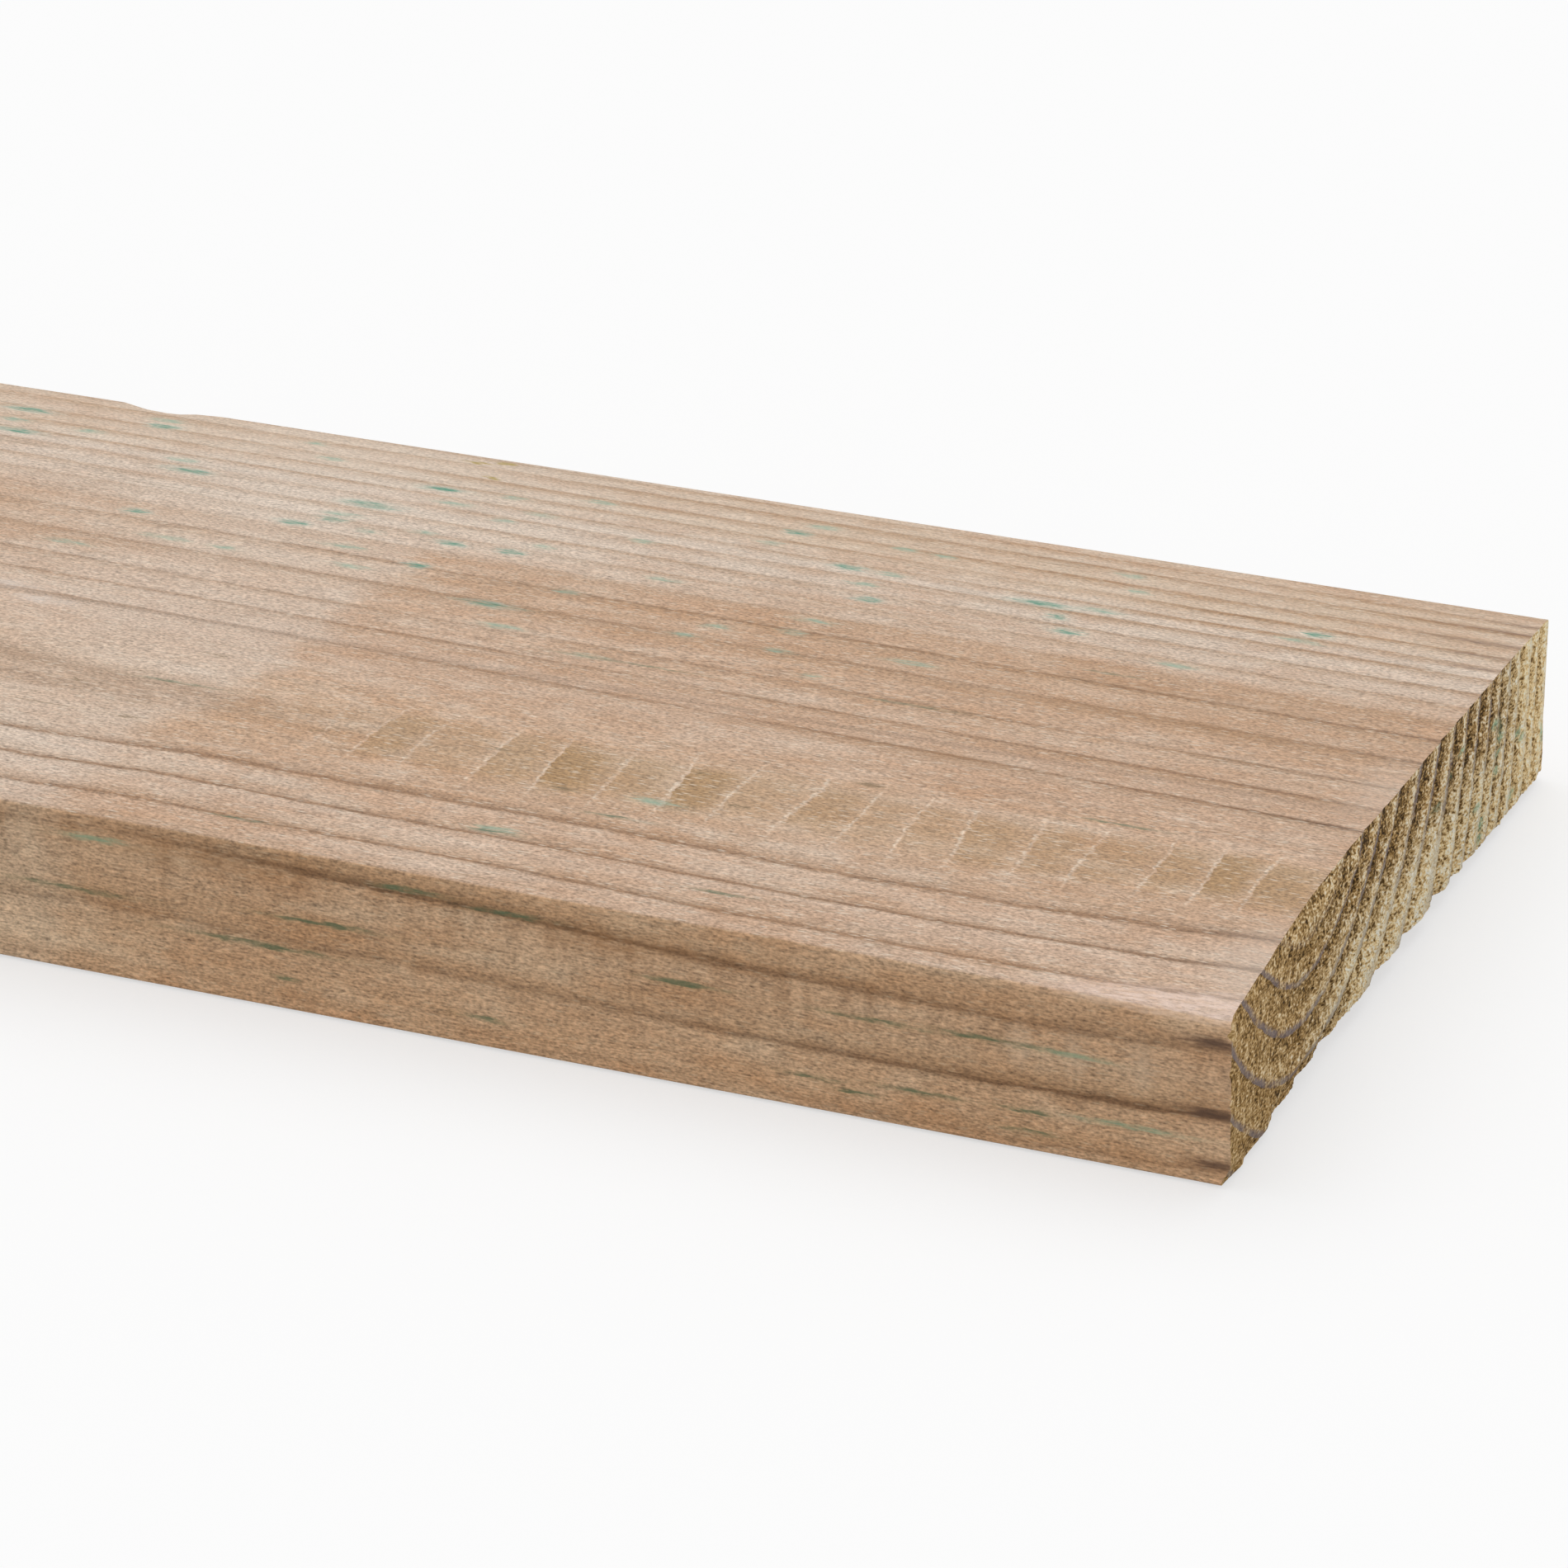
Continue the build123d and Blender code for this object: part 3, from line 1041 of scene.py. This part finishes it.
    def latewood_bands(self, tree: Tree, at: Place, share: Socket, pale: Socket) -> Socket:
        """Latewood arcs: sharp at a ring's end, feathered on the inner side, wider where they are pale.

        Stretches of an arc are worn nearly away.

        Args:
            tree: the material's nodes.
            at: what is known of the point.
            share: place within the ring, from 0 to 1.
            pale: paleness of the end.

        Returns:
            A factor from 0 to 1.
        """
        feathered = add(tree, "Math", {0: mottle(tree, at.mm, (60.0, 0.5, 0.5), 2.0), 1: 0.22, 2: share},
                        operation="MULTIPLY_ADD")
        feathered = add(tree, "Math", {0: pale, 1: 0.08, 2: feathered}, operation="MULTIPLY_ADD")
        band = add(tree, "MapRange", {"Value": feathered, "From Min": 0.81, "From Max": 0.9,
                                      "To Max": 0.85})
        strength = by_year(tree, at.ring, self.ring_strength)
        worn = mottle(tree, at.mm, (60.0, 4.0, 3.0), 1.0, 3.0)
        worn = add(tree, "MapRange", {"Value": worn, "From Min": -0.14, "From Max": 0.02, "To Min": 0.35})
        strength = add(tree, "Math", {0: strength, 1: worn}, operation="MULTIPLY")
        return add(tree, "Math", {0: band, 1: strength}, operation="MULTIPLY")


@dataclass(frozen=True)
class Batten:
    """The whole board: one closed surface that stands for the CAD solid."""

    section: CuppedSection
    rings: GrowthRings
    planed: PlanedPine
    sawn: SawnPine
    seen_end: SawnEnd
    other_end: SawnEnd
    chips: tuple[Chip, ...]
    seen_from: float = 690.0
    close_step: float = 3.5
    wide_step: float = 28.0
    rim_depths: tuple[float, ...] = (0.3, 0.8, 1.6, 2.7)
    rim_fade: float = 2.2
    rim_zone: float = 4.0
    seam_girth: float = 70.0
    seen_step: int = 1
    other_step: int = 2
    coarse_step: int = 4

    def stations(self, low: float, high: float) -> np.ndarray:
        """Places of the cross-sections along the board, close together towards the seen end.

        Args:
            low: first place.
            high: last place.

        Returns:
            Rising places along the board.
        """
        wide = np.linspace(low, self.seen_from, round((self.seen_from - low) / self.wide_step) + 1)
        close = np.linspace(self.seen_from, high, round((high - self.seen_from) / self.close_step) + 1)
        return np.concatenate([wide, close[1:]])

    def cap_grid(self, step: int) -> np.ndarray:
        """Grid over the section between its four sides.

        It is a Coons patch: the blend of lower and upper side by the share of the height, plus the
        blend of near and far side by the share of the width, less the blend of the four corners.

        Args:
            step: takes every so many points of each side.

        Returns:
            Array of rows from low to high, each from near to far, of y and z.
        """
        lower, far, upper, near = (s[::step] for s in self.section.sides())
        upper, near = upper[::-1], near[::-1]
        u = np.linspace(0, 1, len(lower))[None, :, None]
        v = np.linspace(0, 1, len(far))[:, None, None]
        ruled = (1 - v) * lower[None] + v * upper[None] + (1 - u) * near[:, None] + u * far[:, None]
        corners = ((1 - u) * (1 - v) * lower[0] + u * (1 - v) * lower[-1] + (1 - u) * v * upper[0]
                   + u * v * upper[-1])
        return ruled - corners

    @staticmethod
    def rim_of(rows: int, columns: int) -> np.ndarray:
        """Numbers of a grid's outer points, in order round it from near low."""
        index = np.arange(rows * columns).reshape(rows, columns)
        return np.concatenate([index[0, :-1], index[:-1, -1], index[-1, :0:-1], index[:0:-1, 0]])

    def end(self, x: float, outward: float, step: int,
            saw: SawnEnd) -> tuple[np.ndarray, np.ndarray, tuple[int, int]]:
        """Builds one sawn end with its relief.

        Args:
            x: place of the saw plane.
            outward: 1 for the end at +X, -1 for the end at -X.
            step: takes every so many points of each side.
            saw: how the blade left it.

        Returns:
            Points of the end, the relief at each, and the rows and columns of its grid.
        """
        grid = self.cap_grid(step)
        rows, columns = grid.shape[:2]
        flat = np.concatenate([np.full((rows * columns, 1), x), grid.reshape(-1, 2)], 1)
        relief = saw.relief(flat, self.rings.measure(flat)[:, 0])
        points = flat + relief[:, None] * np.array([outward, 0.0, 0.0])
        return points, relief, (rows, columns)

    def surface(self) -> dict[str, Any]:
        """Works out every point and face of the board.

        The rim of the section is carried along the stations. Near an end the rim has more points, and
        follows the relief of the end less and less with depth:
        x = end - depth + relief * e^(-depth / fade).

        Returns:
            Points, faces, number of planed faces, place round the board, edge share and sharp points.
        """
        low, high = (corner.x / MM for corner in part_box("timber_batten"))
        rim = np.concatenate([s[:-1] for s in self.section.sides()])
        run = np.linalg.norm(np.roll(rim, -1, 0) - rim, axis=1)
        girth = np.concatenate([[0.0], np.cumsum(run)[:-1]])
        girth = np.where(girth > run.sum() - self.seam_girth, girth - run.sum(), girth)
        tangent = np.roll(rim, -1, 0) - np.roll(rim, 1, 0)
        narrow = smooth_step(0.35, 0.9, np.abs(tangent[:, 1]) / np.linalg.norm(tangent, axis=1))

        points, girths, narrows, quads, wides = [], [], [], [], []
        start = 0

        def loop(numbers: np.ndarray) -> np.ndarray:
            """Pairs each number with the next one round the loop."""
            return np.stack([numbers, np.roll(numbers, -1)], -1)

        def lay(places: np.ndarray, around: np.ndarray, side: np.ndarray) -> np.ndarray:
            """Adds a set of points.

            Args:
                places: rows of x, y and z.
                around: place of each round the section.
                side: how far each belongs to a narrow edge.

            Returns:
                The numbers of the points.
            """
            nonlocal start
            points.append(places)
            girths.append(around)
            narrows.append(side)
            numbers = np.arange(start, start + len(places))
            start += len(places)
            return numbers

        def ring_at(x: np.ndarray | float, step: int) -> np.ndarray:
            """Adds the rim at one station.

            Args:
                x: place along the board, one for all points or one for each.
                step: takes every so many points of the rim.

            Returns:
                The numbers of the points.
            """
            outline = rim[::step]
            places = np.concatenate([np.broadcast_to(x, (len(outline),))[:, None], outline], 1)
            return lay(places, girth[::step], narrow[::step])

        caps, sharp = [], []
        rims = {}
        for x, outward, step, saw in ((low, -1.0, self.other_step, self.other_end),
                                      (high, 1.0, self.seen_step, self.seen_end)):
            places, heights, (rows, columns) = self.end(x, outward, step, saw)
            around = self.rim_of(rows, columns)
            side, turn = np.zeros(len(places)), np.zeros(len(places))
            turn[around], side[around] = girth[::step], narrow[::step]
            numbers = lay(places, turn, side).reshape(rows, columns)
            face = np.stack([numbers[:-1, :-1], numbers[:-1, 1:], numbers[1:, 1:], numbers[1:, :-1]], -1)
            face = face.reshape(-1, 4)
            caps.append(face if outward > 0 else face[:, ::-1])
            chain = [numbers.reshape(-1)[around]]
            sharp.append(chain[0])
            for depth in self.rim_depths:
                moved = x - outward * (depth - heights[around] * math.exp(-depth / self.rim_fade))
                chain.append(ring_at(moved, step))
            rims[outward] = chain

        places = self.stations(low + self.rim_zone, high - self.rim_zone)
        middle = [ring_at(x, self.coarse_step) for x in places]

        def strip(first: np.ndarray, second: np.ndarray) -> np.ndarray:
            """Joins two rims of the same number of points with quads, the first rim nearer to -X."""
            a, b = loop(first), loop(second)
            return np.stack([a[:, 0], a[:, 1], b[:, 1], b[:, 0]], -1)

        for outward, chain in rims.items():
            for outer, inner in zip(chain, chain[1:]):
                quads.append(strip(inner, outer) if outward > 0 else strip(outer, inner))
        for first, second in zip(middle, middle[1:]):
            quads.append(strip(first, second))
        for outward, step, coarse in ((-1.0, self.other_step, middle[0]),
                                      (1.0, self.seen_step, middle[-1])):
            fine, ratio = rims[outward][-1], self.coarse_step // step
            groups = np.concatenate([fine, fine[:1]])
            groups = groups[np.arange(len(coarse))[:, None] * ratio + np.arange(ratio + 1)]
            pair = loop(coarse)
            wides.append(np.concatenate([pair, groups[:, ::-1]], 1) if outward > 0
                         else np.concatenate([groups, pair[:, ::-1]], 1))
        skin_faces = [face.tolist() for face in (*quads, *wides)]
        faces = [f for group in skin_faces for f in group]
        planed_count = len(faces)
        faces += np.concatenate(caps).tolist()
        return {
            "points": np.concatenate(points), "faces": faces, "planed_count": planed_count,
            "girth": np.concatenate(girths), "narrow": np.concatenate(narrows),
            "sharp": np.concatenate(sharp)}

    def build(self) -> bpy.types.Object:
        """Makes the mesh, its attributes and its finish, and puts it in the CAD solid's place.

        Returns:
            The board.
        """
        made = self.surface()
        points = made["points"]
        growth = self.rings.measure(points)
        worn = points + sum(chip.dent(points) for chip in self.chips)
        mesh = bpy.data.meshes.new("timber_batten_board")
        mesh.from_pydata((worn * MM).tolist(), [], made["faces"])
        skin = np.stack([points[:, 0], made["girth"], made["narrow"]], -1)
        for name, values in (("growth", growth), ("skin", skin)):
            mesh.attributes.new(name, "FLOAT_VECTOR", "POINT").data.foreach_set("vector", values.ravel())
        sharp = np.zeros(len(points), bool)
        sharp[made["sharp"]] = True
        ends = np.empty(len(mesh.edges) * 2, int)
        mesh.edges.foreach_get("vertices", ends)
        mesh.edges.foreach_set("use_edge_sharp", sharp[ends].reshape(-1, 2).all(1))
        mesh.polygons.foreach_set("use_smooth", np.ones(len(mesh.polygons), bool))
        kinds = np.ones(len(mesh.polygons), int)
        kinds[:made["planed_count"]] = 0
        mesh.polygons.foreach_set("material_index", kinds)
        mesh.materials.append(self.planed.make(PLANED_MARKS))
        mesh.materials.append(self.sawn.make(SAWN_MARKS))
        mesh.update()
        board = bpy.data.objects.new("timber_batten_board", mesh)
        bpy.context.scene.collection.objects.link(board)
        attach(board, "root")
        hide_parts("timber_batten")
        return board


@dataclass(frozen=True)
class Studio:
    """Pale floor, soft light from all round with more from above, and the camera of the photo."""

    floor_size: float = 60.0
    floor_drop: float = 0.0002
    floor_bounce: str = "#dadada"
    floor_white: str = "#fcfcfc"
    shadow_share: float = 0.38
    sky: float = 0.7
    sun: float = 1.0
    sun_spread: float = 70.0
    sun_way: tuple[float, float, float] = (0.25, -0.3, -1.0)
    lens: float = 138.04
    sensor: float = 36.0
    azimuth: float = 21.87
    elevation: float = 23.197
    roll: float = -0.67
    eye: tuple[float, float, float] = (1062.01, -585.67, 280.29)

    def seen_directly(self, tree: Tree) -> Socket:
        """Tells rays that show the background, from the camera, mirrored or through glass, from the rest.

        Args:
            tree: nodes of the floor or the room.

        Returns:
            1 for rays that show it, 0 for bounced light.
        """
        path = add(tree, "LightPath", out="Is Camera Ray")
        shown = path
        for name in ("Is Glossy Ray", "Is Transmission Ray"):
            shown = add(tree, "Math", {0: shown, 1: path.node.outputs[name]}, operation="MAXIMUM")
        return shown

    def floor(self) -> bpy.types.Object:
        """Lays the floor: white as the photo's ground with a faint shadow, duller for bounced light.

        Returns:
            The floor.
        """
        half = self.floor_size / 2
        mesh = bpy.data.meshes.new("studio_floor")
        corners = np.array([(-half, -half), (half, -half), (half, half), (-half, half)])
        places = np.concatenate([corners, np.full((4, 1), -self.floor_drop)], 1)
        mesh.from_pydata(places.tolist(), [], [(0, 1, 2, 3)])
        material = bpy.data.materials.new("studio_floor_paper")
        material.use_nodes = True
        tree = material.node_tree
        tree.nodes.clear()
        dull = add(tree, "BsdfDiffuse", {"Color": linear(self.floor_bounce)})
        lit = add(tree, "BsdfDiffuse", {"Color": linear(self.floor_white)})
        glow = add(tree, "Emission", {"Color": linear(self.floor_white), "Strength": 1.0})
        white = add(tree, "MixShader", {0: self.shadow_share, 1: glow, 2: lit})
        shader = add(tree, "MixShader", {0: self.seen_directly(tree), 1: dull, 2: white})
        add_output(tree, shader)
        mesh.materials.append(material)
        floor = bpy.data.objects.new("studio_floor", mesh)
        bpy.context.scene.collection.objects.link(floor)
        return floor

    def light(self) -> None:
        """Hangs one broad light above and behind the board in an even, pale room."""
        world = bpy.data.worlds.new("studio_room")
        world.use_nodes = True
        tree = world.node_tree
        tree.nodes.clear()
        strength = add(tree, "MapRange", {"Value": self.seen_directly(tree), "To Min": self.sky,
                                          "To Max": 1.0})
        background = add(tree, "Background", {"Color": linear("#ffffff"), "Strength": strength})
        output = tree.nodes.new("ShaderNodeOutputWorld")
        tree.links.new(background, output.inputs["Surface"])
        bpy.context.scene.world = world
        lamp = bpy.data.lights.new("overhead_softbox", "SUN")
        lamp.energy = self.sun
        lamp.angle = math.radians(self.sun_spread)
        hung = bpy.data.objects.new("overhead_softbox", lamp)
        hung.rotation_euler = Vector(self.sun_way).to_track_quat("-Z", "Y").to_euler()
        bpy.context.scene.collection.objects.link(hung)

    def camera(self) -> None:
        """Sets the camera where the photo's stood, turned by azimuth, elevation and roll."""
        turn, tilt, roll = (math.radians(a) for a in (self.azimuth, self.elevation, self.roll))
        ahead = Vector((-math.sin(turn) * math.cos(tilt), math.cos(turn) * math.cos(tilt), -math.sin(tilt)))
        level = Vector((math.cos(turn), math.sin(turn), 0.0))
        down = ahead.cross(level)
        right = math.cos(roll) * level + math.sin(roll) * down
        down = ahead.cross(right)
        data = bpy.data.cameras.new("photo_camera")
        data.lens = self.lens
        data.sensor_width = self.sensor
        data.clip_start = 0.01
        camera = bpy.data.objects.new("photo_camera", data)
        place = Matrix((right, -down, -ahead)).transposed().to_4x4()
        place.translation = Vector(self.eye) * MM
        camera.matrix_world = place
        bpy.context.scene.collection.objects.link(camera)
        bpy.context.scene.camera = camera


def upper(kind: Stain, width: float, places: tuple[tuple[float, float, float], ...]) -> tuple[Mark, ...]:
    """Marks on the upper face, from x, y and length. They reach 4 mm into the board, not through it."""
    return tuple(Mark(kind, (x, y, 21.0), (length, width, 8.0)) for x, y, length in places)


def near(kind: Stain, width: float, places: tuple[tuple[float, float, float], ...]) -> tuple[Mark, ...]:
    """Marks on the near edge, from x, height and length. They reach 7 mm into the board."""
    return tuple(Mark(kind, (x, -60.0, z), (length, 14.0, width)) for x, z, length in places)


def sawn(kind: Stain, places: tuple[tuple[float, float, float, float], ...]) -> tuple[Mark, ...]:
    """Marks on the seen end, from y, height, width and drop."""
    return tuple(Mark(kind, (900.0, y, z), (20.0, width, drop)) for y, z, width, drop in places)


PLANED_MARKS = (
    *upper(Stain.BLOOM, 4.0, ((707.0, -2.5, 14.0), (729.0, -8.0, 24.0), (738.0, -11.0, 14.0))),
    *upper(Stain.HAZE, 30.0, ((899.0, -4.0, 14.0), (899.0, -48.0, 14.0))),
    *upper(Stain.SHADE, 5.0, ((872.0, 16.0, 60.0), (868.0, 7.0, 70.0), (850.0, -13.0, 50.0))),
    *upper(Stain.SHADE, 2.5, ((893.0, 53.2, 24.0), (893.0, 48.3, 24.0), (895.0, 43.5, 14.0))),
    *upper(Stain.DUSK, 1.8, (
        (896.0, 52.6, 22.0), (896.0, 47.7, 22.0), (897.0, 43.0, 16.0), (898.0, 38.5, 12.0),
        (898.0, 55.8, 12.0))),
    *upper(Stain.YELLOW, 2.0, ((762.3, 57.0, 4.0), (765.6, 58.3, 4.0), (766.4, 51.9, 2.0))),
    *upper(Stain.TINGE, 2.2, (
        (713.2, 46.2, 5.0), (756.4, 30.5, 7.0), (778.2, 41.2, 5.0), (772.0, 45.7, 4.0), (761.8, 20.0, 9.0),
        (765.5, 13.9, 7.0), (749.0, 13.4, 5.0), (741.0, 13.6, 9.0), (731.0, 7.3, 9.0), (822.7, 20.0, 7.0),
        (827.7, 48.8, 4.0), (824.6, 39.4, 5.0), (853.0, 46.9, 4.0), (851.5, 38.2, 7.0), (823.0, 34.6, 5.0),
        (875.8, 38.5, 7.0), (821.5, 15.5, 5.0), (837.7, 11.9, 9.0), (822.3, 9.1, 5.0), (810.4, 9.4, 5.0),
        (865.4, 24.2, 7.0), (790.0, 3.0, 9.0), (803.0, -1.5, 7.0), (826.0, -36.0, 7.0), (813.0, -48.0, 7.0),
        (702.5, 46.3, 5.0), (719.7, 54.9, 7.0), (740.9, 54.9, 4.0), (745.5, 49.9, 4.0), (729.3, 40.8, 5.0),
        (766.7, 40.3, 7.0), (783.3, 30.2, 5.0), (762.1, 26.1, 4.0), (782.8, 49.1, 5.0), (768.2, 28.7, 4.0),
        (810.6, 52.6, 5.0), (822.7, 49.1, 4.0), (807.1, 44.0, 4.0), (774.7, 37.0, 4.0), (850.5, 52.2, 5.0),
        (800.7, 25.6, 5.0), (792.4, 16.8, 5.0), (812.6, 13.5, 5.0), (828.8, 3.4, 4.0), (793.4, 37.5, 4.0))),
    *upper(Stain.FLECK, 2.2, (
        (702.0, 50.9, 7.0), (705.0, 42.3, 7.0), (720.7, 52.4, 5.0), (731.8, 37.3, 7.0), (763.1, 45.0, 7.0),
        (756.0, 28.3, 4.0), (752.2, 25.1, 5.0), (772.7, 26.4, 4.0), (780.5, 26.7, 4.0), (808.6, 49.2, 4.0),
        (819.2, 39.6, 5.0), (844.4, 37.5, 9.0), (877.3, 41.5, 4.0), (847.5, 33.9, 3.0), (850.3, 29.4, 4.0),
        (825.2, 29.7, 4.0), (733.3, 20.6, 4.0), (772.7, 17.6, 4.0), (785.9, 9.0, 7.0))),
    *upper(Stain.FLECK, 2.8, ((757.9, 35.3, 9.0),)),
    *upper(Stain.STREAK, 0.7, (
        (785.9, 9.1, 14.0), (859.6, 18.4, 9.0), (842.4, -0.3, 14.0), (807.0, -1.6, 24.0),
        (875.0, -22.6, 14.0), (824.2, -40.8, 9.0), (813.1, -48.6, 9.0), (841.4, -52.9, 9.0),
        (785.3, -55.2, 9.0), (764.0, -27.0, 14.0))),
    *near(Stain.SHADE, 5.0, ((780.0, 17.0, 50.0), (832.0, 15.5, 30.0))),
    *near(Stain.STREAK, 0.9, (
        (767.0, 10.5, 18.0), (789.5, 7.7, 26.0), (797.0, 11.7, 18.0), (819.5, 17.1, 12.0),
        (808.0, 17.8, 12.0), (839.5, 12.5, 12.0), (861.5, 12.3, 18.0), (874.0, 12.6, 18.0),
        (854.0, 4.1, 8.0), (858.5, 3.2, 6.0), (866.0, 4.6, 12.0), (878.0, 4.8, 8.0), (878.0, 2.4, 8.0),
        (792.5, 3.9, 5.0), (815.5, 3.6, 8.0))),
    *near(Stain.TINGE, 1.1, ((889.0, 5.2, 18.0), (883.0, 12.4, 12.0), (770.0, 17.2, 12.0))),
    *upper(Stain.SPECK, 0.9, (
        (846.5, -23.3, 3.0), (815.6, -36.5, 2.0), (762.6, -37.2, 2.0), (764.6, -18.3, 2.0),
        (818.0, -16.3, 1.0), (805.5, -29.9, 1.0), (784.6, -32.7, 1.0), (753.0, -30.4, 1.0),
        (828.3, -27.4, 1.0), (835.1, -33.6, 1.0), (775.2, -26.9, 1.0))),
    *near(Stain.SMUDGE, 1.9, ((898.0, 16.9, 8.0), (898.0, 8.5, 10.0), (898.2, 2.5, 8.0))),
    *near(Stain.FRAY, 2.8, ((904.0, 20.0, 60.0),)),
    *near(Stain.HAZE, 9.0, ((877.0, 12.5, 4.0), (883.0, 12.5, 4.0), (890.5, 12.5, 4.0))))
SAWN_MARKS = (
    *sawn(Stain.COPPER, (
        (37.5, 15.0, 3.5, 1.4), (40.0, 12.6, 3.5, 1.4), (39.0, 11.0, 3.0, 1.4), (48.0, 10.2, 3.0, 1.6),
        (49.6, 8.9, 3.0, 1.4), (31.0, 7.2, 3.0, 1.4), (33.5, 4.2, 3.5, 2.0), (33.0, 2.6, 3.0, 1.6),
        (46.0, 3.0, 3.0, 1.6), (58.5, 6.0, 2.0, 3.5), (23.0, 17.3, 3.5, 1.0), (38.5, 9.0, 2.0, 1.6))),
    *sawn(Stain.STREAK, ((14.3, 13.8, 4.0, 1.4), (40.0, 14.0, 2.5, 2.5), (19.0, 15.8, 2.5, 1.2))))


def main() -> None:
    """Builds the board and the studio round it, and logs the board's points and faces and the floor."""
    logging.basicConfig(level=logging.INFO, format="%(name)s: %(message)s")
    chips = (
        Chip((901.0, -60.2, 20.2), (14.0, 2.2, 2.6), (0.0, 0.7, -0.5)),
        Chip((900.0, 61.0, -2.0), (60.0, 30.0, 14.0), (0.0, 0.8, 0.9)),
        Chip((717.0, 60.0, 20.0), (6.5, 2.4, 2.4), (0.0, -0.8, -0.5)))
    batten = Batten(CuppedSection(), GrowthRings(), PlanedPine(), SawnPine(), SawnEnd(11),
                    SawnEnd(23, ridge=0.6), chips)
    board = batten.build()
    log.info("%s: %d points, %d faces", board.name, len(board.data.vertices), len(board.data.polygons))
    studio = Studio()
    log.info("%s laid", studio.floor().name)
    studio.light()
    studio.camera()
    bpy.context.scene.view_settings.view_transform = "Standard"


if __name__ == "__main__":
    main()
